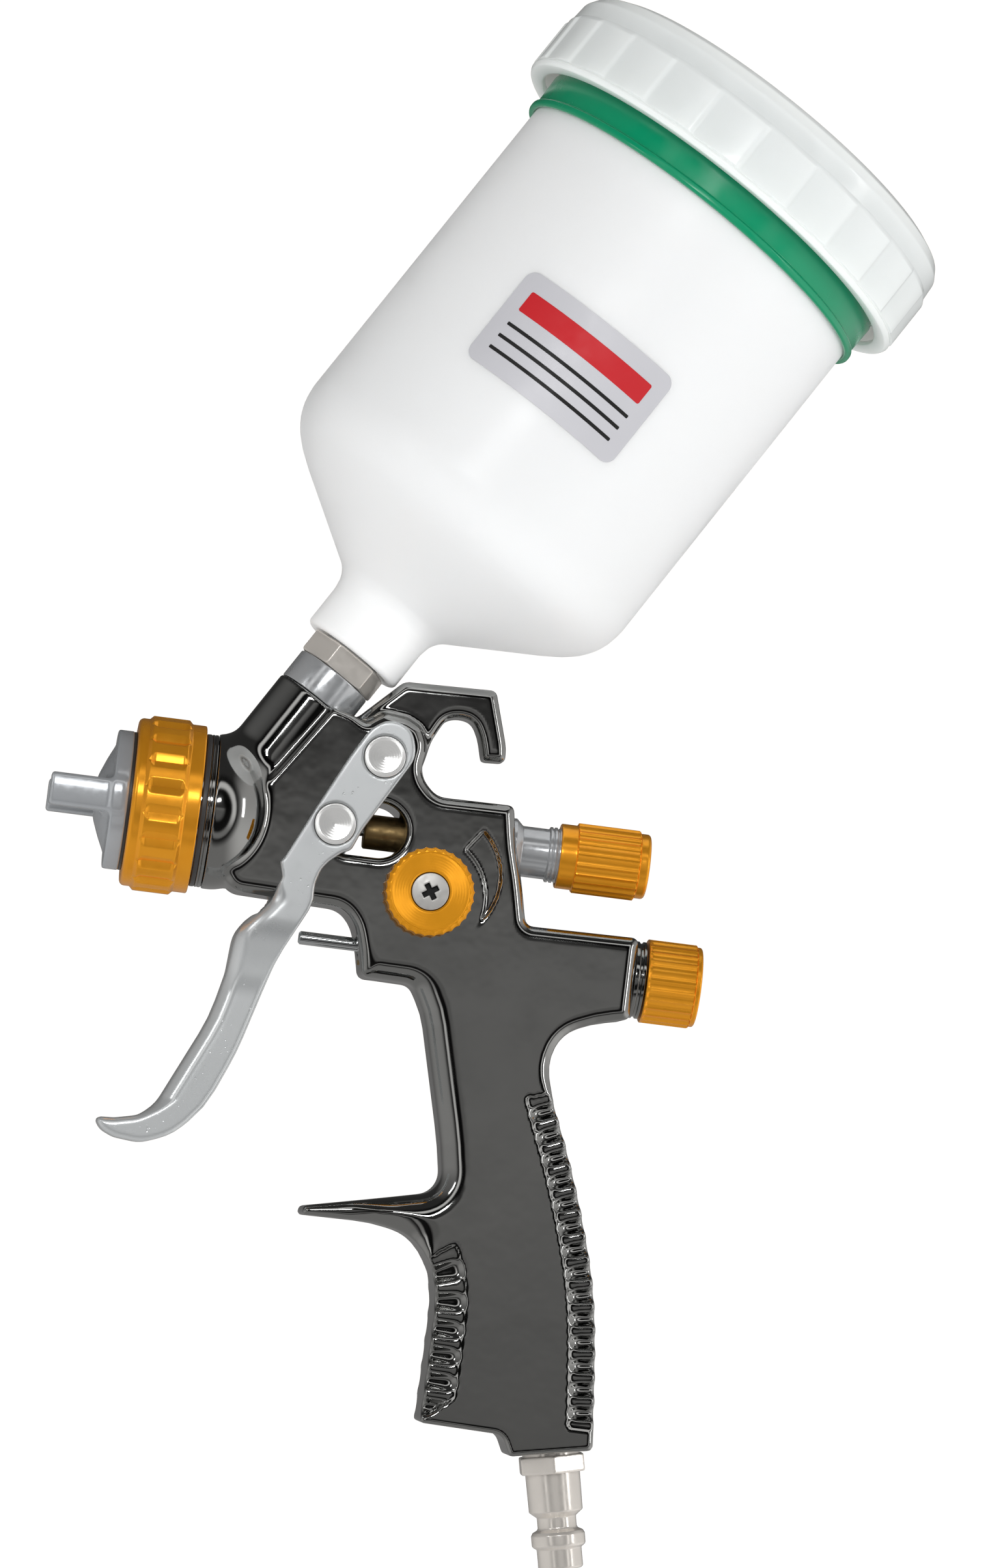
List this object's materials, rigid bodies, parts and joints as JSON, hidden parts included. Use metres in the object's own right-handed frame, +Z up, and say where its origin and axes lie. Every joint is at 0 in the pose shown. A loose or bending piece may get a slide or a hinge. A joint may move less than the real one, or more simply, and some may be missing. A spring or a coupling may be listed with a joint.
{
  "type": "gravity feed spray gun",
  "caption": "Gravity-feed paint spray gun with a leaning plastic cup, horned air cap, sprung trigger that opens an air valve and a needle, and turning control knobs.",
  "frame": {"origin": "centre of the fluid tip, level with the flat face of the air cap", "axes": "the gun sprays towards -X, +X runs back to the knobs, +Z is up towards the cup and the hook, and the fan knob is on the -Y side"},
  "size_m": [0.1822, 0.1024, 0.3491],
  "materials": {
    "smoked_chrome": "smoked mirror plating on a cast body",
    "plated_steel": "satin zinc plating",
    "polished_steel": "polished",
    "gold_anodised": "gold anodised, satin",
    "nickel_brass": "nickel plated, satin",
    "brass": "turned",
    "stainless": "turned",
    "cup_plastic": "translucent, soft gloss",
    "lid_plastic": "translucent, soft gloss",
    "green_ring": "gloss",
    "label_foil": "satin foil",
    "black_rubber": "matte",
    "seal_plastic": "matte"
  },
  "bodies": {
    "gun": {"gun_body": "smoked_chrome", "fluid_nozzle": "stainless", "air_baffle": "seal_plastic", "head_seal": "black_rubber", "head_wear_ring": "stainless", "needle_packing": "seal_plastic", "packing_nut": "brass", "fluid_bush": "polished_steel", "fluid_inlet_ring": "polished_steel", "cup_outlet_nut": "nickel_brass", "cup_body": "cup_plastic", "cup_band": "green_ring", "cup_label": "label_foil", "cup_strainer": "seal_plastic", "trigger_pivot_pin": "stainless", "trigger_pivot_screw": "stainless", "fan_valve_gland": "brass", "air_valve_gland": "brass", "air_valve_seat": "seal_plastic", "air_valve_bush": "polished_steel", "air_plug": "nickel_brass", "needle_spring": "stainless", "air_valve_spring": "stainless"},
    "cap_ring": {"air_cap_ring": "gold_anodised"},
    "air_cap": {"air_cap": "stainless", "cap_slip_ring": "black_rubber"},
    "lid": {"cup_lid": "lid_plastic", "lid_gasket": "seal_plastic", "lid_vent_plug": "lid_plastic"},
    "trigger": {"trigger": "plated_steel", "near_drive_stud": "stainless", "far_drive_stud": "stainless"},
    "needle": {"needle": "polished_steel", "needle_collar": "brass"},
    "fluid_knob": {"fluid_knob": "gold_anodised"},
    "fan_knob": {"fan_knob": "gold_anodised", "fan_knob_screw": "stainless", "fan_valve_spool": "brass", "fan_valve_seal": "black_rubber"},
    "air_valve": {"air_valve_stem": "polished_steel", "air_valve_poppet": "brass"},
    "air_knob": {"air_knob": "gold_anodised", "air_knob_spindle": "brass"}
  },
  "joints": [
    {"name": "trigger_pull", "type": "hinge", "parent": "gun", "child": "trigger", "pos_m": [0.0621, 0, 0.0161], "axis": [0, -1, 0], "range_deg": [0, 14], "stiffness_Nm_per_rad": 4, "springref_deg": -8.59},
    {"name": "needle_slide", "type": "slide", "parent": "gun", "child": "needle", "axis": [1, 0, 0], "range_m": [0, 0.0042], "deforming": ["needle_spring"]},
    {"name": "air_valve_slide", "type": "slide", "parent": "gun", "child": "air_valve", "axis": [1, 0, 0], "range_m": [0, 0.0104], "deforming": ["air_valve_spring"]},
    {"name": "fluid_knob_turn", "type": "hinge", "parent": "gun", "child": "fluid_knob", "pos_m": [0.114, 0, 0], "axis": [1, 0, 0], "continuous": true},
    {"name": "fan_knob_turn", "type": "hinge", "parent": "gun", "child": "fan_knob", "pos_m": [0.0754, -0.014, -0.0124], "axis": [0, -1, 0], "range_deg": [-90, 90]},
    {"name": "air_knob_turn", "type": "hinge", "parent": "gun", "child": "air_knob", "pos_m": [0.132, 0, -0.0253], "axis": [1, 0, 0], "continuous": true},
    {"name": "cap_ring_turn", "type": "hinge", "parent": "gun", "child": "cap_ring", "pos_m": [0.015, 0, 0], "axis": [-1, 0, 0], "continuous": true},
    {"name": "air_cap_turn", "type": "hinge", "parent": "gun", "child": "air_cap", "pos_m": [0.005, 0, 0], "axis": [-1, 0, 0], "continuous": true},
    {"name": "lid_lift", "type": "slide", "parent": "gun", "child": "lid", "axis": [0.5225, 0, 0.8526], "range_m": [0, 0.03]}
  ],
  "couplings": [
    {"joint": "needle_slide", "follows": "trigger_pull", "m_per_rad": 0.0161},
    {"joint": "air_valve_slide", "follows": "trigger_pull", "m_per_rad": 0.0414}
  ]
}
